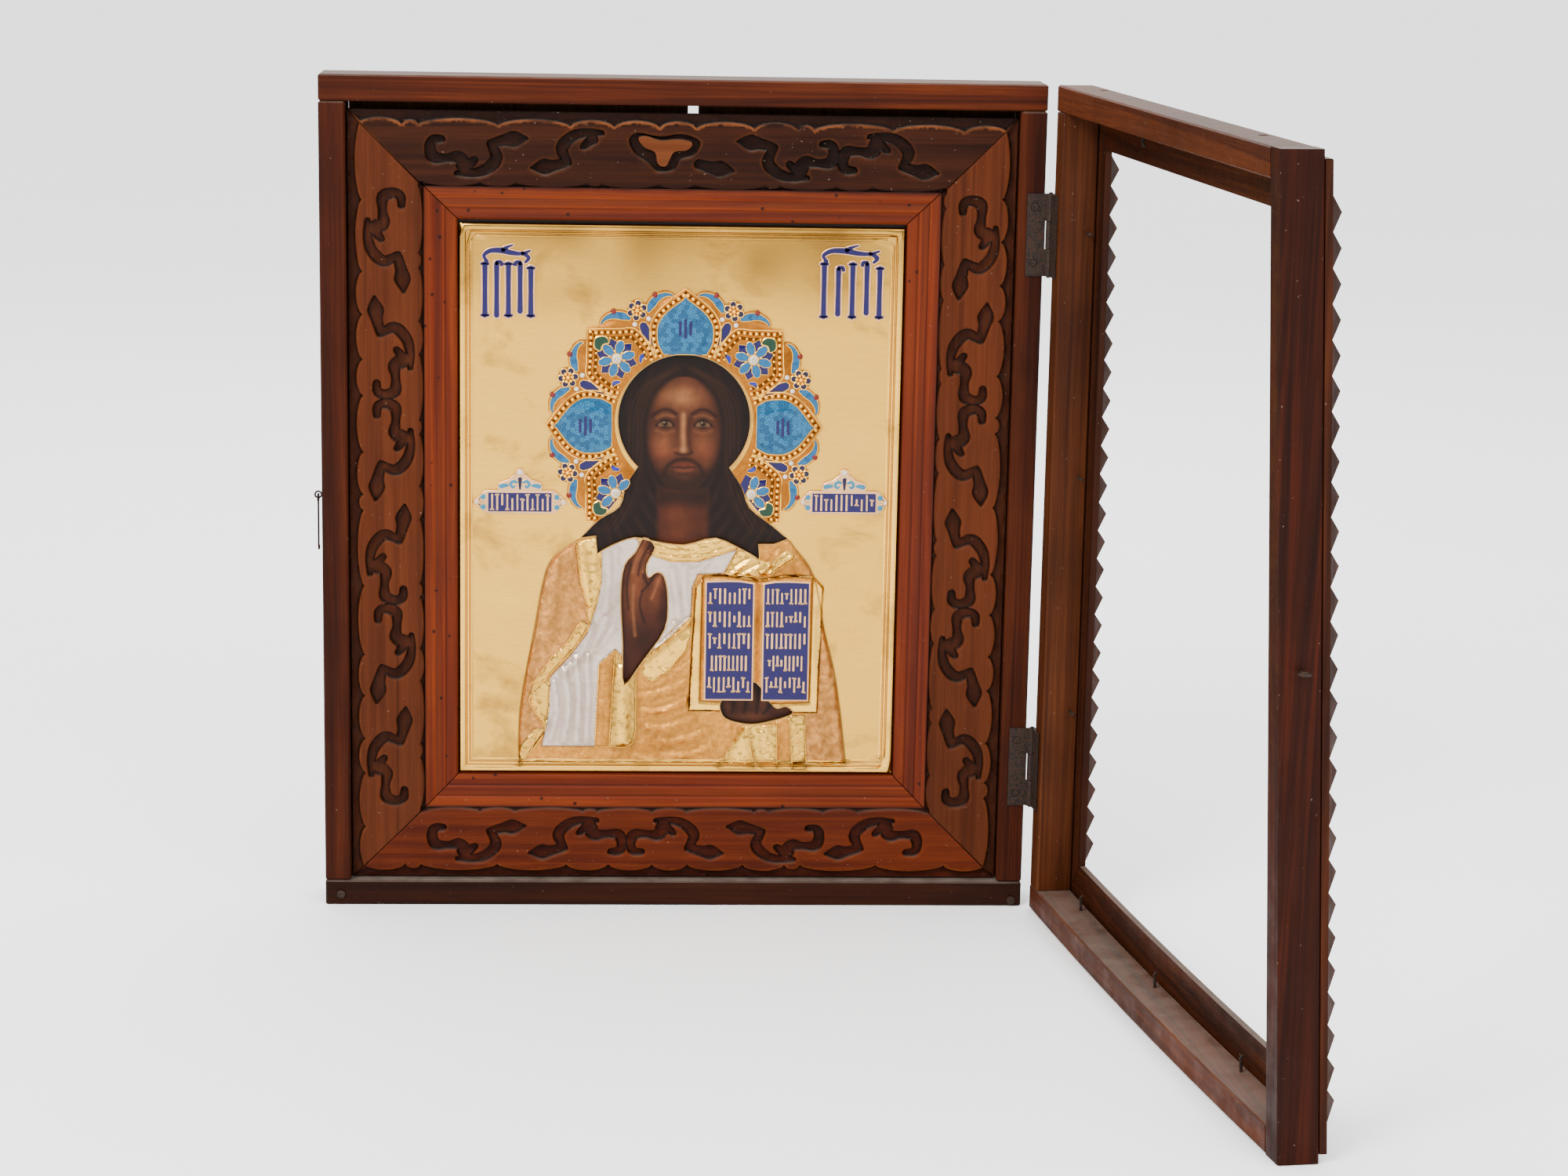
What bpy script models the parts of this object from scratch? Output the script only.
"""Icon with a metal cover in a carved wooden case whose door frame stands open.

Axes: X right, -Y towards the viewer, Z up, metres.  The origin is the centre of the
bottom board's underside.  The door is drawn shut, bent by its warp, and hangs on an
empty at the hinge axis that turns it open.
"""

import math

import bmesh
import bpy
from mathutils import Vector
from mathutils.geometry import delaunay_2d_cdt

for old in list(bpy.data.objects):
    bpy.data.objects.remove(old)

MM = 0.001
TINY = 1e-6
GAP = 0.3 * MM

# case
CASE_W = 410.0 * MM
CASE_H = 483.5 * MM
CASE_D = 34.0 * MM
BOARD = 14.8 * MM
BOARD_WEAR = 0.9 * MM

# carved boards, set a little behind the case's front
CARVE_SET = 3.5 * MM
CARVE_FRET = 4.5 * MM
CARVE_BASE = 4.5 * MM
CARVE_W = 42.5 * MM
CARVE_SIDE_GAP = 0.8 * MM
CARVE_TOP_GAP = 4.6 * MM
CARVE_FOOT_GAP = 0.5 * MM
MITRE_GAP = 0.25 * MM

# sight moulding around the icon
SIGHT_W = 19.0 * MM
SIGHT_OUT = 6.5 * MM
SIGHT_DROP = 5.5 * MM
SIGHT_T = 4.0 * MM
SIGHT_RIBS = 3
SIGHT_RIB_H = 0.5 * MM
# one rib: (share of its width, how far it falls)
SIGHT_RIB = ((0.10, 0.0), (0.78, 0.0), (0.94, SIGHT_RIB_H))

# icon panel, cover sheet and back board
PANEL_LAP = 4.0 * MM
PANEL_T = 13.2 * MM
SHEET_T = 1.2 * MM
RIZA_SIDE_GAP = 0.4 * MM
RIZA_TOP_GAP = 2.4 * MM
RIZA_FOOT_GAP = 0.6 * MM
BACK_T = 3.7 * MM
NOTCH_W = 6.0 * MM
NOTCH_H = 7.0 * MM
NOTCH_X = 5.5 * MM

# door
DOOR_OVER = 0.5 * MM
DOOR_GAP = 2.4 * MM
DOOR_LIFT = 0.4 * MM
DOOR_T = 20.8 * MM
STILE_W = 15.5 * MM
RAIL_H = 14.8 * MM
STRIP_W = 29.5 * MM
STRIP_T = 3.6 * MM
STRIP_END = 4.4 * MM
TOOTH_H = 6.6 * MM
TOOTH_PITCH = 16.4 * MM
OPEN_DEG = 96.5
WARP = 23.2 * MM
WARP_BEND = 0.6
RAIL_HOLE_R = 2.7 * MM
# (share of the width, share of the thickness) of the top rail's holes
RAIL_HOLES = ((0.100, 0.77), (0.818, 0.72))
RAIL_HOLE_DEEP = 8.0 * MM

# hinges
HINGE_OUT = 3.2 * MM
KNUCKLE_R = 2.4 * MM
TURNED_SIDES = 10
SCREW_SIDES = 8
PIN_R = 1.1 * MM
PIN_CLEAR = 0.3 * MM
PIN_END = 0.8 * MM
LEAF_T = 0.8 * MM
LEAF_W = 10.0 * MM
LEAF_H = 47.0 * MM
KNUCKLES = 3
HINGE_FOOT = 86.0 * MM
HINGE_HEAD = 84.5 * MM
SCREW_R = 2.2 * MM
SCREW_SPAN = 32.0 * MM
SCREW_IN = 4.4 * MM
SCREW_T = 0.6 * MM

# nails and the latch
NAIL_R = 0.85 * MM
# places of the glazing nails, as shares of the door's width and height
NAIL_RAIL = {"bottom_inner": 0.132, "bottom_middle": 0.468, "bottom_outer": 0.787}
NAIL_STILE = {"hinge_lower": 0.256, "hinge_middle": 0.542, "hinge_upper": 0.831}
NAIL_TOP = 0.307
# (share of the length, sideways in radii) along a bent nail
NAIL_BEND = ((0.0, 0.0), (0.45, 0.0), (0.8, -0.5), (1.0, 1.0))
NAIL_UP = 8.5 * MM
NAIL_DEPTH = 15.6 * MM
HEAD_R = 2.5 * MM
HEAD_T = 1.0 * MM
LATCH_OFF = 1.0 * MM
EYE_R = 2.6 * MM
EYE_WIRE = 0.75 * MM
EYE_DEPTH = 10.5 * MM
EYE_NECK = 1.2 * MM
STAPLE_R = 1.9 * MM
STAPLE_WIRE = 0.55 * MM
STAPLE_OUT = 2.6 * MM
STAPLE_Y = 12.0 * MM
HOOK_LEN = 28.0 * MM
HOOK_TIP = 4.6 * MM
HOOK_WIRE = 0.6 * MM
HOOK_R = 2.2 * MM

# places worked out from the sizes above
FRONT = -CASE_D / 2
LEFT, RIGHT = -CASE_W / 2, CASE_W / 2
SIDE_X = CASE_W / 2 - BOARD
TOP_IN = CASE_H - BOARD
CARVE_X = SIDE_X - CARVE_SIDE_GAP
CARVE_Z0 = BOARD + CARVE_FOOT_GAP
CARVE_Z1 = TOP_IN - CARVE_TOP_GAP
SIGHT_X = CARVE_X - CARVE_W
SIGHT_Z0 = CARVE_Z0 + CARVE_W
SIGHT_Z1 = CARVE_Z1 - CARVE_W
OPEN_X = SIGHT_X - SIGHT_W
OPEN_Z0 = SIGHT_Z0 + SIGHT_W
OPEN_Z1 = SIGHT_Z1 - SIGHT_W
RIZA_X = OPEN_X - RIZA_SIDE_GAP
RIZA_Z0 = OPEN_Z0 + RIZA_FOOT_GAP
RIZA_Z1 = OPEN_Z1 - RIZA_TOP_GAP
SHEET_BACK = FRONT + SIGHT_OUT + SIGHT_DROP + SIGHT_T
PANEL_Y = SHEET_BACK + GAP
SHEET_Y = SHEET_BACK - SHEET_T
BACK_Y = PANEL_Y + PANEL_T + GAP
DOOR_W = CASE_W + DOOR_OVER
DOOR_H = CASE_H
HINGE_Z = {"lower": HINGE_FOOT, "upper": CASE_H - HINGE_HEAD}
LATCH_Z = CASE_H / 2 + LATCH_OFF
PIN = Vector((RIGHT + HINGE_OUT, FRONT - DOOR_GAP / 2, 0.0))
STAPLE = Vector((LEFT - GAP - STAPLE_OUT, FRONT + STAPLE_Y, LATCH_Z))
HOOK_PIVOT = STAPLE - Vector((0.0, 0.0, STAPLE_R))

# name: (colour, roughness, metallic)
FINISHES = {
    "case wood": ((0.150, 0.060, 0.032), 0.55, 0.0),
    "carved wood": ((0.135, 0.058, 0.032), 0.60, 0.0),
    "sight wood": ((0.330, 0.085, 0.028), 0.45, 0.0),
    "door wood": ((0.190, 0.090, 0.048), 0.60, 0.0),
    "old pine": ((0.320, 0.230, 0.140), 0.75, 0.0),
    "painted panel": ((0.090, 0.035, 0.016), 0.40, 0.0),
    "gilt silver": ((0.860, 0.660, 0.330), 0.30, 1.0),
    "pale gilt": ((0.830, 0.720, 0.520), 0.35, 1.0),
    "blue enamel": ((0.045, 0.210, 0.420), 0.25, 0.0),
    "violet enamel": ((0.050, 0.020, 0.300), 0.25, 0.0),
    "iron": ((0.060, 0.050, 0.045), 0.60, 0.9),
}


def finish_of(name):
    key = name.capitalize()
    if key in bpy.data.materials:
        return bpy.data.materials[key]
    colour, roughness, metallic = FINISHES[name]
    material = bpy.data.materials.new(key)
    material.use_nodes = True
    shader = material.node_tree.nodes["Principled BSDF"]
    shader.inputs["Base Color"].default_value = (*colour, 1.0)
    shader.inputs["Roughness"].default_value = roughness
    shader.inputs["Metallic"].default_value = metallic
    return material


def dress(obj, finish, parent=None, rounded=False):
    """Give the material, move the origin to the piece's middle and hang it on its parent."""
    obj.data.materials.clear()
    obj.data.materials.append(finish_of(finish))
    corners = [Vector(c) for c in obj.bound_box]
    middle = sum(corners, Vector()) / 8
    for v in obj.data.vertices:
        v.co -= middle
    obj.location = middle
    if parent:
        obj.parent = parent
    if rounded:
        obj.data.shade_smooth()
        obj.data.set_sharp_from_angle(angle=math.radians(35))
    return obj


def axis_empty(name, place, angle_deg=0.0):
    empty = bpy.data.objects.new(name, None)
    empty.location = place
    empty.rotation_euler.z = math.radians(angle_deg)
    bpy.context.scene.collection.objects.link(empty)
    return empty


def make(name, verts, faces):
    mesh = bpy.data.meshes.new(name)
    mesh.from_pydata([tuple(v) for v in verts], [], faces)
    bm = bmesh.new()
    bm.from_mesh(mesh)
    bmesh.ops.recalc_face_normals(bm, faces=bm.faces)
    bmesh.ops.triangulate(bm, faces=[f for f in bm.faces if len(f.verts) > 4])
    bm.to_mesh(mesh)
    bm.free()
    obj = bpy.data.objects.new(name, mesh)
    bpy.context.scene.collection.objects.link(obj)
    return obj


def box(name, lo, hi, wear=0.0):
    xs, ys, zs = zip(lo, hi)
    verts = [(x, y, z) for x in xs for y in ys for z in zs]
    faces = [(0, 1, 3, 2), (4, 6, 7, 5), (0, 4, 5, 1), (2, 3, 7, 6), (0, 2, 6, 4), (1, 5, 7, 3)]
    obj = make(name, verts, faces)
    if wear:
        bm = bmesh.new()
        bm.from_mesh(obj.data)
        bmesh.ops.bevel(bm, geom=list(bm.edges), offset=wear, segments=1, affect="EDGES")
        bm.to_mesh(obj.data)
        bm.free()
    return obj


def tube_faces(rings, sides, closed=False):
    """Quads between successive rings of vertices, with end caps on an open tube."""
    faces = []
    for i in range(rings if closed else rings - 1):
        k = (i + 1) % rings
        for j in range(sides):
            m = (j + 1) % sides
            faces.append((i * sides + j, i * sides + m, k * sides + m, k * sides + j))
    if not closed:
        faces.append(tuple(range(sides)))
        faces.append(tuple(range(rings * sides - 1, (rings - 1) * sides - 1, -1)))
    return faces


def prism(name, loop, place, d0, d1):
    """A closed loop of (s, t) pushed from depth d0 to d1; place gives the real point."""
    verts = [place(s, t, d) for d in (d0, d1) for s, t in loop]
    return make(name, verts, tube_faces(2, len(loop)))


def circle(cx, cy, r, sides):
    turn = 2 * math.pi / sides
    return [(cx + r * math.cos(turn * i), cy + r * math.sin(turn * i)) for i in range(sides)]


def join(name, parts):
    verts, faces = [], []
    for obj in parts:
        base = len(verts)
        verts += [v.co.copy() for v in obj.data.vertices]
        faces += [tuple(base + i for i in p.vertices) for p in obj.data.polygons]
        bpy.data.objects.remove(obj)
    mesh = bpy.data.meshes.new(name)
    mesh.from_pydata(verts, [], faces)
    obj = bpy.data.objects.new(name, mesh)
    bpy.context.scene.collection.objects.link(obj)
    return obj


def boolean(obj, other, operation="DIFFERENCE"):
    mod = obj.modifiers.new("shape", "BOOLEAN")
    mod.operation = operation
    mod.solver = "EXACT"
    mod.use_self = True
    mod.object = other
    graph = bpy.context.evaluated_depsgraph_get()
    graph.update()
    mesh = bpy.data.meshes.new_from_object(obj.evaluated_get(graph))
    obj.modifiers.clear()
    obj.data = mesh
    bpy.data.objects.remove(other)
    bm = bmesh.new()
    bm.from_mesh(mesh)
    bmesh.ops.remove_doubles(bm, verts=bm.verts, dist=0.00002)
    bmesh.ops.dissolve_limit(bm, angle_limit=0.002, verts=bm.verts, edges=bm.edges)
    bmesh.ops.triangulate(bm, faces=bm.faces)
    bm.to_mesh(mesh)
    bm.free()
    return obj


def smooth(points, steps, closed=False):
    """Catmull-Rom curve through tuples of any length."""
    pts = [tuple(p) for p in points]
    n = len(pts)
    out = []
    for i in range(n if closed else n - 1):
        if closed:
            p0, p1, p2, p3 = (pts[(i + k) % n] for k in (-1, 0, 1, 2))
        else:
            p0, p1, p2, p3 = (pts[min(max(i + k, 0), n - 1)] for k in (-1, 0, 1, 2))
        for j in range(steps):
            t = j / steps
            out.append(tuple(
                0.5 * (2 * b + (c - a) * t + (2 * a - 5 * b + 4 * c - d) * t * t
                       + (3 * b - a - 3 * c + d) * t ** 3)
                for a, b, c, d in zip(p0, p1, p2, p3)))
    if not closed:
        out.append(pts[-1])
    return out


def thin(loop, least_deg):
    """Drop the points of a closed loop where it hardly turns."""
    out = list(loop)
    i = 0
    while i < len(out) and len(out) > 6:
        a, b, c = out[i - 1], out[i], out[(i + 1) % len(out)]
        first = math.atan2(b[1] - a[1], b[0] - a[0])
        second = math.atan2(c[1] - b[1], c[0] - b[0])
        turn = abs((second - first + math.pi) % (2 * math.pi) - math.pi)
        if turn < math.radians(least_deg):
            out.pop(i)
        i += 1
    return out


def stroke_loop(track, steps):
    """Outline of a stroke whose track is (s, t, width)."""
    pts = smooth(track, steps)
    left, right = [], []
    for i, (s, t, w) in enumerate(pts):
        a = pts[max(i - 1, 0)]
        b = pts[min(i + 1, len(pts) - 1)]
        ds, dt = b[0] - a[0], b[1] - a[1]
        k = math.hypot(ds, dt)
        left.append((s - dt / k * w / 2, t + ds / k * w / 2))
        right.append((s + dt / k * w / 2, t - ds / k * w / 2))
    tips = []
    for (s, t, w), (ps, pt, _) in ((pts[-1], pts[-2]), (pts[0], pts[1])):
        k = math.hypot(s - ps, t - pt)
        tips.append((s + (s - ps) / k * w / 2, t + (t - pt) / k * w / 2))
    return left + [tips[0]] + right[::-1] + [tips[1]]


# carved boards: one hooked leaf scroll, repeated turned and mirrored along each board.
# Each track holds (along, across, width) in shares of a scroll 100 long and 100 across.
SCROLL = (
    ((15.7, 31.3, 9.2), (7.6, 32.3, 11.3), (4.1, 42.6, 12.3), (7.9, 57.9, 14.4),
     (20.7, 59.0, 10.3), (31.9, 57.9, 15.9), (37.9, 71.8, 17.9)),
    ((29.8, 80.3, 7.2), (44.8, 80.3, 10.8), (58.6, 74.4, 13.3), (68.6, 57.4, 13.8),
     (62.1, 36.4, 8.7)),
    ((64.1, 37.4, 11.8), (75.9, 32.3, 13.8), (86.2, 30.3, 19.0), (98.3, 28.7, 3.6)),
    ((38.6, 71.8, 13.8), (47.6, 60.5, 8.7)),
)
SCROLL_BAND = 39.0 * MM
SCROLL_IN = 3.6 * MM
SCROLL_START = 1.5 * MM
SCALLOPS = (26.0, 10.0, 44.0, 15.0, 31.0)
SCALLOP_RISE = 3.0 * MM
SCALLOP_EDGE = 3.4 * MM
SCALLOP_END = 6.0 * MM
INNER_SCALLOPS = (33.0, 21.0, 41.0, 9.0)
INNER_RISE = 2.2 * MM
INNER_EDGE = 0.6 * MM
FULL_SCALLOP = 26.0
SHORT_SCALLOP = 20.0
SCALLOP_BASE = 0.35
SCALLOP_SWELL = 0.8
THIN_DEG = 22


def scallop_line(start, end, lengths, edge, rise, skip):
    """(along, across) points: arcs that swell towards the edge and meet in cusps."""
    arcs = []
    while sum(arcs) * MM < end - start:
        arcs.append(lengths[(skip + len(arcs)) % len(lengths)])
    scale = (end - start) / sum(arcs)
    out = [(start, edge + rise)]
    s = start
    for length in arcs:
        span = length * scale
        high = rise * min(1.0, length / FULL_SCALLOP + SCALLOP_BASE)
        steps = 2 if length < SHORT_SCALLOP else 3
        for j in range(1, steps + 1):
            f = j / steps
            swell = max(0.0, math.sin(math.pi * f)) ** SCALLOP_SWELL
            out.append((s + span * f, edge + rise - high * swell))
        s += span
    out[-1] = (end, edge + rise)
    return out


def scroll_loops(start, pitch, turned, mirrored):
    loops = []
    for track in SCROLL:
        row = []
        for s, t, w in track:
            if turned:
                s, t = 100.0 - s, 100.0 - t
            if mirrored:
                t = 100.0 - t
            row.append((start + s / 100 * pitch, t / 100 * SCROLL_BAND + SCROLL_IN,
                        w / 100 * SCROLL_BAND))
        loops.append(thin(stroke_loop(row, 2 if len(row) > 2 else 1), THIN_DEG))
    return loops


def carved_board(name, corner, along, inward, size, plan, skip):
    """A mitred board: plan says for each scroll whether it is turned and mirrored."""
    cut = MITRE_GAP * math.sqrt(2)
    over = CARVE_SET

    def place(s, t, d):
        p = corner + along * s + inward * t
        return (p.x, FRONT + CARVE_SET + d, p.z)

    loop = [(cut, 0.0), (size - cut, 0.0), (size - CARVE_W - cut, CARVE_W),
            (CARVE_W + cut, CARVE_W)]
    board = prism(name, loop, place, 0.0, CARVE_FRET + CARVE_BASE)
    cutters = []

    def recess(loop):
        cutters.append(prism("recess", loop, place, -over, CARVE_FRET))

    outer = scallop_line(SCALLOP_END, size - SCALLOP_END, SCALLOPS, SCALLOP_EDGE,
                         SCALLOP_RISE, skip)
    level = SCALLOP_EDGE + SCALLOP_RISE
    past = SCALLOP_END
    recess(outer + [(size + past, level), (size + past, -past), (-past, -past), (-past, level)])
    first = CARVE_W
    inner = scallop_line(first, size - first, INNER_SCALLOPS, INNER_EDGE, INNER_RISE, skip)
    inner = [(s, CARVE_W - t) for s, t in inner]
    level = CARVE_W - INNER_EDGE - INNER_RISE
    recess(inner + [(size, level), (size, CARVE_W + past), (0.0, CARVE_W + past), (0.0, level)])
    start = CARVE_W + SCROLL_START
    pitch = (size - 2 * start) / len(plan)
    for i, (turned, mirrored) in enumerate(plan):
        for loop in scroll_loops(start + i * pitch, pitch, turned, mirrored):
            recess(loop)
    return dress(boolean(board, join("recesses", cutters)), "carved wood")


def carved_boards():
    pair = [(False, False), (True, False)]
    flip = [(False, True), (True, True)]
    up = CARVE_Z1 - CARVE_Z0
    across = 2 * CARVE_X
    x, z = Vector((1, 0, 0)), Vector((0, 0, 1))
    left_top = Vector((-CARVE_X, 0, CARVE_Z1))
    right_top = Vector((CARVE_X, 0, CARVE_Z1))
    left_foot = Vector((-CARVE_X, 0, CARVE_Z0))
    carved_board("carved_board_left", left_top, -z, x, up, flip + pair + pair, 0)
    carved_board("carved_board_right", right_top, -z, -x, up, flip + pair + pair, 1)
    carved_board("carved_board_top", left_top, x, -z, across, pair + flip + flip[:1], 2)
    carved_board("carved_board_bottom", left_foot, x, z, across, flip + pair + flip[1:], 0)


def sight_profile():
    """(across, depth from the case's front): ribbed slope falling to the icon."""
    pts = [(0.0, SIGHT_OUT)]
    for i in range(SIGHT_RIBS):
        for share, dip in SIGHT_RIB:
            f = (i + share) / SIGHT_RIBS
            pts.append((f * SIGHT_W, SIGHT_OUT + f * SIGHT_DROP + dip))
    back = SIGHT_OUT + SIGHT_DROP + SIGHT_T
    pts += [(SIGHT_W, SIGHT_OUT + SIGHT_DROP), (SIGHT_W, back), (0.0, back)]
    return pts


def mitred_moulding(name, corner, along, inward, length):
    profile = sight_profile()
    cut = MITRE_GAP * math.sqrt(2)
    verts = []
    for far in (False, True):
        for t, d in profile:
            across = t + GAP / 2
            s = length - across - cut if far else across + cut
            p = corner + along * s + inward * across
            verts.append((p.x, FRONT + d, p.z))
    dress(make(name, verts, tube_faces(2, len(profile))), "sight wood")


def sight_mouldings():
    x, z = Vector((1, 0, 0)), Vector((0, 0, 1))
    up = SIGHT_Z1 - SIGHT_Z0
    across = 2 * SIGHT_X
    foot = Vector((-SIGHT_X, 0, SIGHT_Z0))
    mitred_moulding("sight_moulding_left", foot, z, x, up)
    mitred_moulding("sight_moulding_right", Vector((SIGHT_X, 0, SIGHT_Z0)), z, -x, up)
    mitred_moulding("sight_moulding_top", Vector((-SIGHT_X, 0, SIGHT_Z1)), x, -z, across)
    mitred_moulding("sight_moulding_bottom", foot, x, z, across)


def case_boards():
    rear = FRONT + CASE_D
    foot, head = BOARD + GAP, TOP_IN - GAP
    ends = {
        "case_board_top": ((LEFT, FRONT, TOP_IN), (RIGHT, rear, CASE_H)),
        "case_board_bottom": ((LEFT, FRONT, 0.0), (RIGHT, rear, BOARD)),
        "case_board_left": ((LEFT, FRONT, foot), (-SIDE_X, rear, head)),
        "case_board_right": ((SIDE_X, FRONT, foot), (RIGHT, rear, head)),
    }
    for name, (lo, hi) in ends.items():
        dress(box(name, lo, hi, BOARD_WEAR), "case wood")
    board = box("back_board", (GAP - SIDE_X, BACK_Y, foot), (SIDE_X - GAP, BACK_Y + BACK_T, head))
    notch = box("notch", (NOTCH_X - NOTCH_W / 2, BACK_Y - BACK_T, head - NOTCH_H),
                (NOTCH_X + NOTCH_W / 2, BACK_Y + 2 * BACK_T, head + NOTCH_H))
    dress(boolean(board, notch), "old pine")


def icon_panel():
    lo = (-OPEN_X - PANEL_LAP, PANEL_Y, OPEN_Z0 - PANEL_LAP)
    hi = (OPEN_X + PANEL_LAP, PANEL_Y + PANEL_T, OPEN_Z1 + PANEL_LAP)
    dress(box("icon_panel", lo, hi), "painted panel")


# The figure on the cover is drawn on a field 255.4 wide and 322.8 high, x from its middle
# and z from 77.6 below, and is then fitted to the real sheet.
DRAW_X = 127.7
DRAW_Z0 = 77.6
DRAW_Z1 = 400.4
DRAW_K = min(RIZA_X / DRAW_X, (RIZA_Z1 - RIZA_Z0) / (DRAW_Z1 - DRAW_Z0))
HALO_C = (2.2, 284.8)
HEAD_RADIUS = 38.4
HEAD_FIRST, HEAD_LAST, HEAD_STEPS = -46.0, 226.0, 16
HEAD_UP = 3.4
HAIR_LEFT = ((-31.0, 250.0), (-34.8, 237.1), (-46.6, 229.4), (-57.3, 218.3), (-48.4, 219.6),
             (-47.5, 209.3), (-38.0, 214.6), (-25.7, 218.9))
COLLAR = ((-12.3, 216.6), (3.1, 214.9), (21.4, 218.9))
HAIR_RIGHT = ((36.9, 212.3), (47.2, 206.5), (46.4, 215.6), (55.3, 215.6), (63.6, 218.6),
              (54.2, 226.6), (41.0, 237.0), (36.4, 249.0))
HAND_RAISED = ((-20.5, 219.1), (-13.8, 213.6), (-18.6, 203.0), (-17.6, 195.4), (-13.0, 198.4),
               (-8.4, 196.0), (-6.0, 183.0), (-7.6, 164.5), (-19.8, 146.1), (-31.2, 131.6),
               (-32.2, 154.5), (-33.6, 184.9), (-31.6, 202.2), (-25.0, 210.7))
HAND_BOOK = ((25.2, 120.4), (29.1, 126.4), (33.6, 124.0), (37.8, 132.0), (44.7, 134.0),
             (50.4, 129.0), (54.6, 121.6), (58.8, 117.6), (64.4, 118.8), (68.4, 114.0),
             (57.0, 109.6), (44.0, 107.2), (31.3, 109.4), (26.4, 113.6))
ROBE_LEFT = ((-57.9, 217.2), (-71.3, 208.4), (-78.1, 195.3), (-83.9, 163.5), (-89.3, 133.9),
             (-92.4, 110.7), (-92.8, 82.4))
ROBE_TOP = ((-57.9, 217.2), (-48.4, 219.8), (-25.7, 221.0), (3.0, 217.0), (36.0, 221.0),
            (64.2, 217.8))
ROBE_RIGHT = ((64.2, 217.8), (68.0, 212.8), (78.9, 197.0), (86.5, 161.9), (92.0, 140.7),
              (96.3, 115.5), (100.3, 82.4))
BOOK = ((9.6, 190.6), (15.9, 197.6), (32.0, 198.0), (47.4, 194.6), (64.0, 197.6), (81.0, 197.2),
        (85.6, 190.6), (83.6, 116.0), (8.8, 116.6))
BOOK_GUTTER = 47.3
PLATES = {"book_plate_left": (16.0, 44.6, 124.6, 194.4),
          "book_plate_right": (50.2, 78.0, 124.4, 194.2)}
PLATE_T = 0.7 * MM
# heights of the relief above the sheet, in millimetres
RIM = ((0.0, 0.3), (1.2, 1.5), (3.4, 1.2), (5.8, 0.35), (7.0, 0.7), (8.2, 0.0))
RIM_BEAD = 0.7
ROBE_RISE = 1.5
ROBE_EDGE = 2.2
BOOK_RISE = 4.6
BOOK_BEVEL = 3.4
BOOK_LIP = 0.25
BOOK_STEP = 0.8
BOOK_DIP = 1.0
GRID = 6.2
GRID_SQUEEZE = 0.9
CLEAR = 2.6
# raised lines of the robe: track, half width, height
FOLDS = (
    (((-56.0, 214.0), (-50.6, 190.0), (-52.0, 170.0), (-66.0, 146.0), (-83.0, 126.0)), 4.2, 1.3),
    (((-84.5, 123.0), (-79.0, 106.0), (-74.5, 98.0), (-90.0, 84.0)), 4.0, 1.1),
    (((-46.0, 150.0), (-45.4, 120.0), (-45.4, 95.0)), 4.0, 1.0),
    (((-38.0, 152.0), (-37.6, 120.0), (-38.0, 95.0)), 3.0, 1.0),
    (((-30.6, 128.0), (-30.0, 112.0), (-30.4, 95.0)), 8.0, 2.4),
    (((-24.0, 138.0), (-8.0, 156.0), (7.0, 171.0)), 5.0, 1.6),
    (((-22.0, 214.6), (-10.0, 208.6), (4.0, 206.4), (20.0, 210.4), (34.0, 217.0)), 3.4, 1.0),
    (((43.0, 206.0), (36.0, 197.0), (28.0, 190.0)), 4.4, 1.5),
    (((56.0, 212.0), (66.0, 206.0), (76.0, 199.0)), 4.4, 1.4),
    (((38.0, 106.0), (33.0, 94.0), (25.0, 83.5)), 4.4, 1.4),
    (((50.0, 105.0), (56.0, 94.0), (68.0, 83.5)), 4.4, 1.4),
    (((72.0, 106.0), (73.0, 95.0), (74.0, 83.5)), 4.0, 1.1),
    (((-70.0, 196.0), (-76.0, 160.0), (-84.0, 130.0)), 6.0, 0.9),
    (((78.0, 180.0), (84.0, 150.0), (91.0, 112.0)), 6.0, 0.9),
    (((-14.0, 128.0), (0.0, 120.0), (20.0, 106.0)), 7.0, 1.0),
    (((-16.0, 108.0), (0.0, 102.0), (24.0, 94.0)), 7.0, 1.0),
    (((-68.0, 134.0), (-64.0, 116.0), (-62.0, 100.0)), 5.0, 0.9),
    (((-44.0, 200.0), (-42.0, 182.0), (-48.0, 162.0)), 5.0, 0.8),
)


def drawn(x, z):
    return (x * DRAW_K, RIZA_Z0 + (z - DRAW_Z0) * DRAW_K)


def head_loop():
    """The head's round opening flows into the hair, the shoulder locks and the collar."""
    arc = []
    for i in range(HEAD_STEPS + 1):
        a = math.radians(HEAD_FIRST + (HEAD_LAST - HEAD_FIRST) * i / HEAD_STEPS)
        arc.append((HALO_C[0] + HEAD_RADIUS * math.cos(a),
                    HALO_C[1] + HEAD_UP + HEAD_RADIUS * math.sin(a)))
    return arc + list(HAIR_LEFT + COLLAR + HAIR_RIGHT)


def inside(p, loop):
    x, z = p[0], p[1]
    hit = False
    for i, (ax, az) in enumerate(loop):
        bx, bz = loop[(i + 1) % len(loop)]
        if (az > z) != (bz > z) and x < (bx - ax) * (z - az) / (bz - az) + ax:
            hit = not hit
    return hit


def near(p, line, closed=False):
    """Distance from p to a line of points."""
    best = math.inf
    n = len(line)
    for i in range(n if closed else n - 1):
        ax, az = line[i]
        bx, bz = line[(i + 1) % n]
        dx, dz = bx - ax, bz - az
        k = ((p[0] - ax) * dx + (p[1] - az) * dz) / max(dx * dx + dz * dz, 1e-9)
        k = min(1.0, max(0.0, k))
        best = min(best, math.hypot(p[0] - ax - k * dx, p[1] - az - k * dz))
    return best


def ease(v):
    v = min(1.0, max(0.0, v))
    return v * v * (3 - 2 * v)


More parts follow.
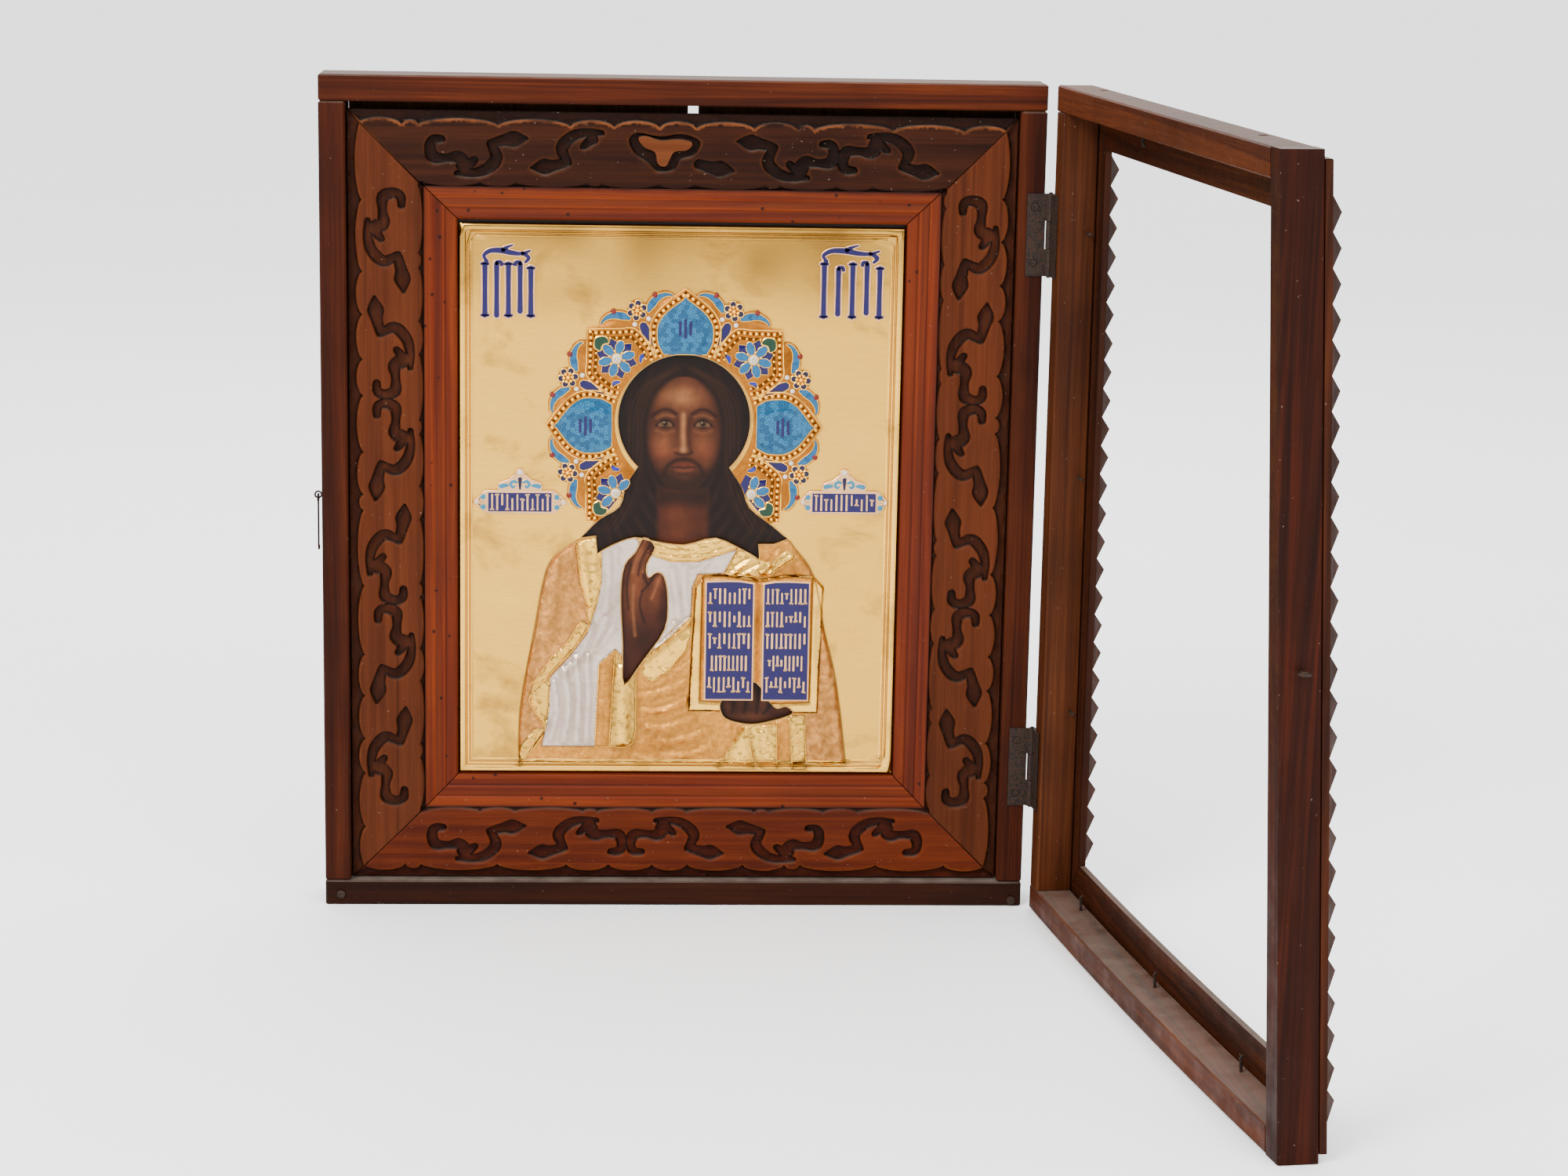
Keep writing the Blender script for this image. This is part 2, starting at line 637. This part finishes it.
def inset_loop(loop, d):
    """The loop moved inwards by d along its corners' bisectors."""
    out = []
    n = len(loop)
    area = sum(loop[i][0] * loop[(i + 1) % n][1] - loop[(i + 1) % n][0] * loop[i][1]
               for i in range(n))
    side = math.copysign(1.0, area)
    for i in range(n):
        a, b, c = (Vector(loop[k % n]) for k in (i - 1, i, i + 1))
        u, v = (b - a).normalized(), (c - b).normalized()
        normal = Vector((-(u.y + v.y), u.x + v.x)).normalized()
        reach = side * d / max(0.5, normal.dot(Vector((-u.y, u.x))))
        out.append((b.x + normal.x * reach, b.y + normal.y * reach))
    return out


class Cover:
    """Outline, openings and relief of the cover sheet, in the drawing's units."""

    def __init__(self):
        k = DRAW_K
        self.x = RIZA_X / k
        self.z0 = DRAW_Z0
        self.z1 = DRAW_Z0 + (RIZA_Z1 - RIZA_Z0) / k
        self.holes = [head_loop(), smooth(HAND_RAISED, 1, True), smooth(HAND_BOOK, 1, True)]
        right = smooth(ROBE_RIGHT, 2)
        self.robe = smooth(ROBE_LEFT, 2) + right[::-1] + smooth(ROBE_TOP, 2)[::-1][1:-1]
        self.book = list(BOOK)
        self.folds = [(smooth(track, 2), width, high) for track, width, high in FOLDS]

    def frame(self, inset):
        x0, x1 = inset - self.x, self.x - inset
        z0, z1 = self.z0 + inset, self.z1 - inset
        return [(x0, z0), (x1, z0), (x1, z1), (x0, z1)]

    def rim(self, x, z):
        d = min(self.x - abs(x), z - self.z0, self.z1 - z)
        for (d0, h0), (d1, h1) in zip(RIM, RIM[1:]):
            if d < d1:
                return h0 + (h1 - h0) * (d - d0) / (d1 - d0)
        return 0.0

    def height(self, x, z):
        p = (x, z)
        h = self.rim(x, z)
        if inside(p, self.robe):
            edge = near(p, self.robe, True)
            h = max(h, ROBE_RISE * ease(edge / ROBE_EDGE))
            for line, width, high in self.folds:
                h += high * (1 - ease(near(p, line) / width)) * ease(edge / ROBE_EDGE)
        if inside(p, self.book):
            edge = near(p, self.book, True)
            top = BOOK_RISE * ease(BOOK_LIP + edge / BOOK_BEVEL)
            if z > PLATES["book_plate_left"][2]:
                top -= BOOK_DIP * (1 - ease(abs(x - BOOK_GUTTER) / ROBE_EDGE))
            h = max(h, top)
        return h

    def clear(self, p, room):
        """True where p lies on the robe, away from its edges, the book and the openings."""
        if not inside(p, self.robe) or inside(p, self.book):
            return False
        if any(inside(p, hole) for hole in self.holes):
            return False
        return min(near(p, loop, True) for loop in (self.robe, self.book, *self.holes)) > room

    def crests(self):
        """The crest of each fold, only where it is clear."""
        rows = []
        for line, _, _ in self.folds:
            part = []
            for p in line + [None]:
                if p and self.clear(p, CLEAR):
                    part.append(p)
                else:
                    if len(part) > 1:
                        rows.append(part)
                    part = []
        return rows

    def dots(self):
        out = []
        columns = int(2 * self.x / (GRID * GRID_SQUEEZE))
        rows = int((ROBE_TOP[0][1] - self.z0) / GRID) + 1
        for i in range(columns):
            for j in range(rows):
                p = (i * GRID * GRID_SQUEEZE - self.x, self.z0 + (j + i % 2 / 2) * GRID)
                if self.clear(p, CLEAR) and all(near(p, f[0]) > CLEAR for f in self.folds):
                    out.append(p)
        return out


def relief(name, loops, lines, dots, height, back, thick):
    """A closed sheet: flat back, front raised by height(x, z); lines are kept as edges."""
    verts, edges = [], []
    for line, closed in [(loop, True) for loop in loops] + lines:
        base = len(verts)
        verts += [Vector(p) for p in line]
        n = len(line)
        edges += [(base + i, base + (i + 1) % n) for i in range(n if closed else n - 1)]
    verts += [Vector(p) for p in dots]

    def keep(tri, points):
        middle = sum((points[i] for i in tri), Vector((0.0, 0.0))) / 3
        return inside(middle, loops[0]) and not any(inside(middle, h) for h in loops[1:])

    points, _, faces = delaunay_2d_cdt(verts, edges, [], 0, 1e-5)[:3]
    front = [f for f in faces if keep(f, points)]
    used = sorted({i for f in front for i in f})
    slot = {v: k for k, v in enumerate(used)}
    coords = []
    for i in used:
        x, z = drawn(*points[i])
        coords.append((x, back - thick - height(*points[i]) * MM, z))
    front = [tuple(slot[i] for i in f) for f in front]
    count = {}
    for f in front:
        for a, b in zip(f, f[1:] + f[:1]):
            key = (min(a, b), max(a, b))
            count[key] = count.get(key, 0) + 1
    border = [key for key, c in count.items() if c == 1]
    edge_ids = sorted({i for key in border for i in key})
    place = {v: k for k, v in enumerate(edge_ids)}
    under = {v: len(coords) + k for k, v in enumerate(edge_ids)}
    flat = [points[used[i]] for i in edge_ids]
    coords += [(coords[i][0], back, coords[i][2]) for i in edge_ids]
    joined = [(place[a], place[b]) for a, b in border]
    points, _, faces, origin = delaunay_2d_cdt(flat, joined, [], 0, 1e-6)[:4]
    rear = [tuple(under[edge_ids[origin[i][0]]] for i in f) for f in faces if keep(f, points)]
    walls = [(a, b, under[b], under[a]) for a, b in border]
    return make(name, coords, front + rear + walls)


def riza_cover():
    cover = Cover()
    lines = [(cover.frame(d), True) for d, _ in RIM[1:]]
    lines += [(cover.robe, True), (inset_loop(cover.robe, ROBE_EDGE), True)]
    lines += [(cover.book, True), (inset_loop(cover.book, BOOK_BEVEL * BOOK_STEP), True)]
    lines += [(line, False) for line in cover.crests()]
    dress(relief("riza_cover", [cover.frame(0.0)] + cover.holes, lines, cover.dots(),
                 cover.height, SHEET_BACK, SHEET_T), "gilt silver")
    face = SHEET_Y - BOOK_RISE * MM - GAP
    for name, (x0, x1, z0, z1) in PLATES.items():
        lo, hi = drawn(x0, z0), drawn(x1, z1)
        plate = box(name, (lo[0], face - PLATE_T, lo[1]), (hi[0], face, hi[1]))
        dress(plate, "pale gilt")


# halo: an arc of pointed petals round the head with small flowers between them
HALO_IN = 40.2
HALO_OUT = 79.4
HALO_LOW = 71.0
HALO_END = 66.0
HALO_FIRST, HALO_LAST = -49.0, 229.0
HALO_STEPS, HALO_INNER_STEPS, HALO_SPOKES = 84, 24, 8
HALO_DROP = 0.6
HALO_CLEAR = 2.2
HALO_STAGGER = 1.2
PETAL_TAPER = 10.0
PETAL_SHOULDER = 3.4
PETAL_FOOT = 2.0
PETAL_LIP = 0.3
HALO_T = 1.1 * MM
PETALS = 8
PETAL_RISE = 1.7
PETAL_SLOPE = 0.62
PETAL_HALF = 14.5
SEED_R = 5.4
SEED_AT = 72.6
HALO_RINGS = (46.0, 53.0, 60.0, 66.5, 72.0)


def from_petal(deg):
    """Degrees from the nearest petal's middle."""
    step = 360.0 / PETALS
    return (deg + step / 2) % step - step / 2


def halo_edge(deg):
    r = max(HALO_LOW, HALO_OUT - abs(from_petal(deg)) * PETAL_SLOPE)
    between = math.radians(from_petal(deg + 180.0 / PETALS))
    disc = SEED_R ** 2 - (SEED_AT * math.sin(between)) ** 2
    if disc > 0:
        r = max(r, SEED_AT * math.cos(between) + math.sqrt(disc))
    return r


def halo_height(x, z):
    dx, dz = x - HALO_C[0], z - HALO_C[1]
    r = math.hypot(dx, dz)
    deg = math.degrees(math.atan2(dz, dx))
    half = PETAL_HALF * ease((HALO_OUT + 1.0 - r) / PETAL_TAPER)
    rise = PETAL_RISE * ease((half - abs(from_petal(deg))) / PETAL_SHOULDER)
    rise *= ease((r - HALO_IN) / PETAL_FOOT)
    return rise * ease((halo_edge(deg) - r) / PETAL_FOOT + PETAL_LIP)


def around(centre, r, deg):
    a = math.radians(deg)
    return (centre[0] + r * math.cos(a), centre[1] + r * math.sin(a))


def halo():
    span = HALO_LAST - HALO_FIRST
    loop = []
    for i in range(HALO_STEPS + 1):
        deg = HALO_FIRST + span * i / HALO_STEPS
        loop.append(around(HALO_C, HALO_END if i in (0, HALO_STEPS) else halo_edge(deg), deg))
    inner = (HALO_C[0], HALO_C[1] + HEAD_UP * HALO_DROP)
    for i in range(HALO_INNER_STEPS + 1):
        loop.append(around(inner, HALO_IN, HALO_LAST - span * i / HALO_INNER_STEPS))
    dots = []
    step = 360.0 / PETALS / HALO_SPOKES
    for k in range(int(span / step)):
        deg = HALO_FIRST + step / 2 + k * step
        for r in HALO_RINGS:
            if r < halo_edge(deg) - HALO_CLEAR:
                dots.append(around(HALO_C, r + k % 2 * HALO_STAGGER, deg))
    dress(relief("halo", [loop], [], dots, halo_height, SHEET_Y - GAP, HALO_T), "blue enamel")


# enamelled ornaments on the field
MARKS = {"monogram_left": (-114.6, -83.8, 347.8, 388.0),
         "monogram_right": (79.0, 116.6, 349.2, 390.4)}
MARK_T = 1.2 * MM
MARK_BARS = 5
MARK_BAR = 0.085
MARK_CAP = 9.5
MARK_TIE = 2.2
MARK_FOOT_SHARE = 0.7
MARK_LAP = 0.2
MARK_STEP = 0.02 * MM
# the cap's curl: (share of the width, height over the bars, stroke width)
MARK_CURL = ((0.16, -1.0, 2.0), (0.12, 4.6, 3.2), (0.36, 7.2, 3.6), (0.66, 5.0, 3.4),
             (0.84, 6.8, 2.6), (0.90, -1.0, 2.0))
NAMES = {"name_plate_left": (-111.4, -73.2, 233.2, 245.8, 8.0),
         "name_plate_right": (76.4, 115.0, 234.4, 247.0, 6.6)}
NAME_T = 1.6 * MM
CREST_W = 25.0
CREST_H = 12.4
CREST_STEPS = 8
CREST_LOBES = 4
CREST_SWELL = 0.22
LOBE_FIRST, LOBE_TURN, LOBE_STEPS = -60, 30, 4
LOBE_TALL = 0.95


def badge(name, loop, back, thick):
    def place(s, t, d):
        x, z = drawn(s, t)
        return (x, d, z)
    return prism(name, loop, place, back - thick, back)


def rectangle(x0, x1, z0, z1):
    return [(x0, z0), (x1, z0), (x1, z1), (x0, z1)]


def monogram(name, x0, x1, z0, z1):
    """A row of upright bars tied together under a curled cap: an ornament, not writing."""
    w = x1 - x0
    top = z1 - MARK_CAP
    loops = [rectangle(x0, x1, top - MARK_TIE, top)]
    loops.append(rectangle(x0, x1, z0, z0 + MARK_TIE * MARK_FOOT_SHARE))
    for i in range(MARK_BARS):
        mid = x0 + w * (i + 0.5) / MARK_BARS
        half = w * MARK_BAR / 2
        loops.append(rectangle(mid - half, mid + half, z0 + MARK_LAP, top - MARK_LAP))
    loops.append(stroke_loop([(x0 + f * w, top + dz, t) for f, dz, t in MARK_CURL], 2))
    back = SHEET_Y - GAP
    solid = badge(name, loops[0], back, MARK_T)
    for i, loop in enumerate(loops[1:]):
        step = (i + 1) * MARK_STEP
        boolean(solid, badge("stroke", loop, back - step, MARK_T), "UNION")
    dress(solid, "violet enamel")


def name_plate(name, x0, x1, z0, z1, lobe):
    """A tablet with a domed crest and a round lobe at each end."""
    mid = (x0 + x1) / 2
    half = (z1 - z0) / 2
    loop = [(x0, z0), (x1, z0)]
    for i in range(LOBE_STEPS + 1):
        a = math.radians(LOBE_FIRST + LOBE_TURN * i)
        loop.append((x1 + lobe * math.cos(a), z0 + half + half * LOBE_TALL * math.sin(a)))
    loop += [(x1, z1), (mid + CREST_W / 2, z1)]
    for i in range(1, CREST_STEPS):
        a = math.pi * i / CREST_STEPS
        swell = (1.0 + CREST_SWELL * math.cos(CREST_LOBES * a)) / (1.0 + CREST_SWELL)
        loop.append((mid + CREST_W / 2 * math.cos(a), z1 + CREST_H * math.sin(a) * swell))
    loop += [(mid - CREST_W / 2, z1), (x0, z1)]
    for i in range(LOBE_STEPS + 1):
        a = math.radians(180 + LOBE_FIRST + LOBE_TURN * i)
        loop.append((x0 + lobe * math.cos(a), z0 + half + half * LOBE_TALL * math.sin(a)))
    back = SHEET_Y - GAP - RIM_BEAD * MM
    dress(badge(name, loop, back, NAME_T), "blue enamel")


def door_point(u, n, z):
    """From the hinge edge, the back face and the foot to the hinge axis's own frame."""
    f = u / DOOR_W
    lean = (DOOR_H - z) / DOOR_H
    n += WARP * lean * ((1 - WARP_BEND) * f + WARP_BEND * f * abs(f))
    return Vector((RIGHT - u, FRONT - DOOR_GAP - n, z + DOOR_LIFT)) - PIN


def hang(obj, axis, finish, rounded=False):
    """Move a mesh drawn with x = u, y = n, z into the warped door."""
    for v in obj.data.vertices:
        v.co = door_point(*v.co)
    bm = bmesh.new()
    bm.from_mesh(obj.data)
    bmesh.ops.recalc_face_normals(bm, faces=bm.faces)
    bmesh.ops.triangulate(bm, faces=bm.faces)
    bm.to_mesh(obj.data)
    bm.free()
    return dress(obj, finish, axis, rounded)


def worn_bar(name, along, a0, a1, s0, s1, t0, t1, cuts):
    """A bar with worn corners along u or z, with cross sections to follow the warp."""
    w = BOARD_WEAR
    ring = [(s0 + w, t0), (s1 - w, t0), (s1, t0 + w), (s1, t1 - w), (s1 - w, t1), (s0 + w, t1),
            (s0, t1 - w), (s0, t0 + w)]
    verts = []
    for i in range(cuts + 1):
        a = a0 + (a1 - a0) * i / cuts
        verts += [(a, s, t) if along == "u" else (s, t, a) for s, t in ring]
    return make(name, verts, tube_faces(cuts + 1, len(ring)))


def door_frame(axis):
    head = DOOR_H - RAIL_H
    end = DOOR_W - STILE_W
    hinge = worn_bar("door_stile_hinge", "z", RAIL_H + GAP, head - GAP, 0.0, STILE_W, 0.0,
                     DOOR_T, 1)
    hang(hinge, axis, "door wood")
    latch = worn_bar("door_stile_latch", "z", 0.0, DOOR_H, end, DOOR_W, 0.0, DOOR_T, 1)
    hang(latch, axis, "door wood")
    top = worn_bar("door_rail_top", "u", 0.0, end - GAP, 0.0, DOOR_T, head, DOOR_H, 4)
    holes = [prism("hole", circle(f * DOOR_W, g * DOOR_T, RAIL_HOLE_R, TURNED_SIDES),
                   lambda s, t, d: (s, t, d), DOOR_H - RAIL_HOLE_DEEP, DOOR_H + RAIL_H)
             for f, g in RAIL_HOLES]
    boolean(top, join("holes", holes))
    hang(top, axis, "door wood")
    foot = worn_bar("door_rail_bottom", "u", 0.0, end - GAP, 0.0, DOOR_T, 0.0, RAIL_H, 8)
    hang(foot, axis, "door wood")


def toothed_strip(name, length, place):
    """A mitred strip with two rows of four-sided points cut along it."""
    cut = MITRE_GAP * math.sqrt(2)
    count = round(length / TOOTH_PITCH)
    step = length / count
    row = STRIP_W / 2
    index = {}
    verts, faces = [], []

    def point(s, t, d):
        key = (round(s, 7), round(t, 7), d)
        if key not in index:
            index[key] = len(verts)
            verts.append(place(s, t, d))
        return index[key]

    def within(s, t):
        return (min(max(s, t + cut), length - t - cut), t)

    for t0 in (0.0, row):
        t1 = t0 + row
        for i in range(count):
            s0, s1 = i * step, (i + 1) * step
            corners = [within(s0, t0), within(s1, t0), within(s1, t1), within(s0, t1)]
            ids = []
            for s, t in corners:
                k = point(s, t, 0.0)
                if k not in ids:
                    ids.append(k)
            if len(ids) < 3:
                continue
            whole = corners[2][0] - corners[3][0] > step - TINY
            if whole:
                tip = point(s0 + step / 2, t0 + row / 2, TOOTH_H)
                faces += [(a, b, tip) for a, b in zip(ids, ids[1:] + ids[:1])]
            else:
                faces.append(tuple(ids))
    edges = {(a, b) for f in faces for a, b in zip(f, f[1:] + f[:1])}
    follow = {a: b for a, b in edges if (b, a) not in edges}
    spots = {v: k for k, v in index.items()}
    ring = [min(follow)]
    while follow[ring[-1]] != ring[0]:
        ring.append(follow[ring[-1]])
    low = [point(spots[i][0], spots[i][1], -STRIP_T) for i in ring]
    n = len(ring)
    faces += [(ring[(i + 1) % n], ring[i], low[i], low[(i + 1) % n]) for i in range(n)]
    flat = [Vector(spots[i][:2]) for i in ring]
    rear = delaunay_2d_cdt(flat, [(i, (i + 1) % n) for i in range(n)], [], 1, 1e-7)
    faces += [tuple(low[rear[3][i][0]] for i in f) for f in rear[2]]
    return make(name, verts, faces)


def door_strips(axis):
    base = DOOR_T + GAP + STRIP_T
    lo, hi = STRIP_END, DOOR_H - STRIP_END
    across = DOOR_W - 2 * GAP
    sides = {
        "hinge": (hi - lo, lambda s, t, d: (GAP + t, base + d, lo + s)),
        "latch": (hi - lo, lambda s, t, d: (DOOR_W - GAP - t, base + d, lo + s)),
        "bottom": (across, lambda s, t, d: (GAP + s, base + d, lo + t)),
        "top": (across, lambda s, t, d: (GAP + s, base + d, hi - t)),
    }
    for side, (length, place) in sides.items():
        hang(toothed_strip("door_strip_" + side, length, place), axis, "door wood")


def cylinder(name, start, end, r, sides):
    return tube(name, [start, end], r, sides)


def tube(name, path, r, sides):
    """A round bar through the points of path."""
    verts = []
    n = len(path)
    for i, p in enumerate(path):
        axis = (path[min(i + 1, n - 1)] - path[max(i - 1, 0)]).normalized()
        helper = Vector((1, 0, 0)) if abs(axis.x) < 0.8 else Vector((0, 0, 1))
        side = axis.cross(helper).normalized()
        up = axis.cross(side)
        verts += [p + side * c + up * s for c, s in circle(0.0, 0.0, r, sides)]
    return make(name, verts, tube_faces(n, sides))


def ring(name, centre, a, b, radius, wire, steps=10, sides=6):
    """A closed wire ring in the plane of a and b."""
    verts = []
    for c, s in circle(0.0, 0.0, 1.0, steps):
        out = a * c + b * s
        for p, q in circle(radius, 0.0, wire, sides):
            verts.append(centre + out * p + a.cross(b) * q)
    return make(name, verts, tube_faces(steps, sides, closed=True))


def knuckle_spans(z, fixed):
    """The fixed leaf has the outer knuckles and the moving leaf those between."""
    step = LEAF_H / KNUCKLES
    spans = []
    for i in range(KNUCKLES):
        z0 = z - LEAF_H / 2 + i * step
        spans.append((z0, z0 + step, (i % 2 == 0) == fixed))
    return spans


def screw_places(z):
    x = -HINGE_OUT - LEAF_W + SCREW_IN
    return [(x, z + SCREW_SPAN / 2 * k) for k in (-1, 1)]


def hinge_leaf(name, z, fixed):
    """One leaf with its knuckles, screw holes and bore, drawn for the shut door."""
    side = 1.0 if fixed else -1.0
    outer = side * (DOOR_GAP / 2 - GAP)
    inner = outer - side * LEAF_T
    lo = (-HINGE_OUT - LEAF_W, min(outer, inner), z - LEAF_H / 2)
    leaf = box(name, lo, (0.0, max(outer, inner), z + LEAF_H / 2))
    for z0, z1, mine in knuckle_spans(z, fixed):
        if mine:
            knuckle = cylinder("knuckle", Vector((0, 0, z0)), Vector((0, 0, z1)), KNUCKLE_R,
                               TURNED_SIDES)
            boolean(leaf, knuckle, "UNION")
    reach = KNUCKLE_R + PIN_CLEAR
    cutters = []
    for z0, z1, mine in knuckle_spans(z, fixed):
        if not mine:
            cutters.append(box("room", (-reach, -2 * reach, z0 - GAP / 2),
                               (reach, 2 * reach, z1 + GAP / 2)))
    cutters.append(cylinder("bore", Vector((0, 0, z - LEAF_H)), Vector((0, 0, z + LEAF_H)),
                            PIN_R + PIN_CLEAR, TURNED_SIDES))
    for x, zs in screw_places(z):
        cutters.append(cylinder("screw_hole", Vector((x, -LEAF_W, zs)), Vector((x, LEAF_W, zs)),
                                SCREW_R + PIN_CLEAR, SCREW_SIDES))
    for cutter in cutters:
        boolean(leaf, cutter)
    return leaf


def screws(place, z, fixed, parent):
    side = 1.0 if fixed else -1.0
    y = side * (DOOR_GAP / 2 - GAP - LEAF_T / 2)
    for label, (x, zs) in zip(("low", "high"), screw_places(z)):
        start = Vector((x, y - SCREW_T / 2, zs))
        screw = cylinder("hinge_screw_{}_{}".format(place, label), start,
                         start + Vector((0, SCREW_T, 0)), SCREW_R, SCREW_SIDES)
        dress(screw, "iron", parent, True)


def hinges(door_axis, case_axis):
    for place, z in HINGE_Z.items():
        dress(hinge_leaf("hinge_leaf_case_" + place, z, True), "iron", case_axis, True)
        dress(hinge_leaf("hinge_leaf_door_" + place, z, False), "iron", door_axis, True)
        screws("case_" + place, z, True, case_axis)
        screws("door_" + place, z, False, door_axis)
        end = LEAF_H / 2 + PIN_END
        pin = cylinder("hinge_pin_" + place, Vector((0, 0, z - end)), Vector((0, 0, z + end)),
                       PIN_R, SCREW_SIDES)
        dress(pin, "iron", case_axis, True)


def glazing_nails(axis):
    """Thin bent nails on the inner faces of the door frame, near its front."""
    y = NAIL_DEPTH
    spots = [(k, Vector((f * DOOR_W, y, RAIL_H)), Vector((0, 0, 1))) for k, f in NAIL_RAIL.items()]
    spots.append(("top", Vector((NAIL_TOP * DOOR_W, y, DOOR_H - RAIL_H)), Vector((0, 0, -1))))
    spots += [(k, Vector((STILE_W, y, f * DOOR_H)), Vector((1, 0, 0))) for k, f in NAIL_STILE.items()]
    bend = Vector((0, NAIL_R, 0))
    for label, base, up in spots:
        start = base + up * GAP
        path = [start + up * NAIL_UP * f + bend * k for f, k in NAIL_BEND]
        hang(tube("glazing_nail_" + label, path, NAIL_R, 6), axis, "iron", True)


def latch(door_axis):
    x, y, z = Vector((1, 0, 0)), Vector((0, 1, 0)), Vector((0, 0, 1))
    edge = Vector((DOOR_W + GAP, EYE_DEPTH, LATCH_Z))
    centre = edge + x * (EYE_R + EYE_WIRE + EYE_NECK)
    eye = ring("latch_eye", centre, x, y, EYE_R, EYE_WIRE)
    boolean(eye, cylinder("shank", edge, centre - x * EYE_R, EYE_WIRE * 1.2, 8), "UNION")
    hang(eye, door_axis, "iron", True)
    staple = ring("latch_staple", STAPLE, x, z, STAPLE_R, STAPLE_WIRE)
    root = Vector((LEFT - GAP, STAPLE.y, STAPLE.z))
    stem = cylinder("stem", root, root - x * (STAPLE_OUT - STAPLE_R), STAPLE_WIRE * 1.4, 8)
    dress(boolean(staple, stem, "UNION"), "iron", None, True)
    latch_hook(axis_empty("latch_hook_pivot", HOOK_PIVOT), y, z)


def latch_hook(pivot, y, z):
    """Wire hook hanging from the staple: a closed eye, a straight shank, a bent tip."""
    hook = ring("latch_hook", Vector((0, 0, 0)), y, z, HOOK_R, HOOK_WIRE)
    turn = -z * (HOOK_R + HOOK_LEN)
    path = [-z * (HOOK_R - HOOK_WIRE / 3), turn + z * HOOK_TIP * 0.5, turn + y * HOOK_TIP * 0.2,
            turn + y * HOOK_TIP * 0.65, turn + y * HOOK_TIP + z * HOOK_TIP * 0.3]
    boolean(hook, tube("wire", path, HOOK_WIRE, 6), "UNION")
    dress(hook, "iron", pivot, True)


def corner_nails():
    insets = {"left": (LEFT + 9.0 * MM, 6.6 * MM), "right": (RIGHT - 6.0 * MM, 3.8 * MM)}
    for label, (x, z) in insets.items():
        start = Vector((x, FRONT - GAP, z))
        nail = cylinder("corner_nail_" + label, start, start - Vector((0, HEAD_T, 0)), HEAD_R,
                        TURNED_SIDES)
        dress(nail, "iron", None, True)


def build():
    case_boards()
    carved_boards()
    sight_mouldings()
    icon_panel()
    riza_cover()
    halo()
    for name, sizes in MARKS.items():
        monogram(name, *sizes)
    for name, sizes in NAMES.items():
        name_plate(name, *sizes)
    door_axis = axis_empty("door_hinge_axis", PIN, OPEN_DEG)
    case_axis = axis_empty("case_hinge_axis", PIN)
    door_frame(door_axis)
    door_strips(door_axis)
    hinges(door_axis, case_axis)
    glazing_nails(door_axis)
    latch(door_axis)
    corner_nails()


build()
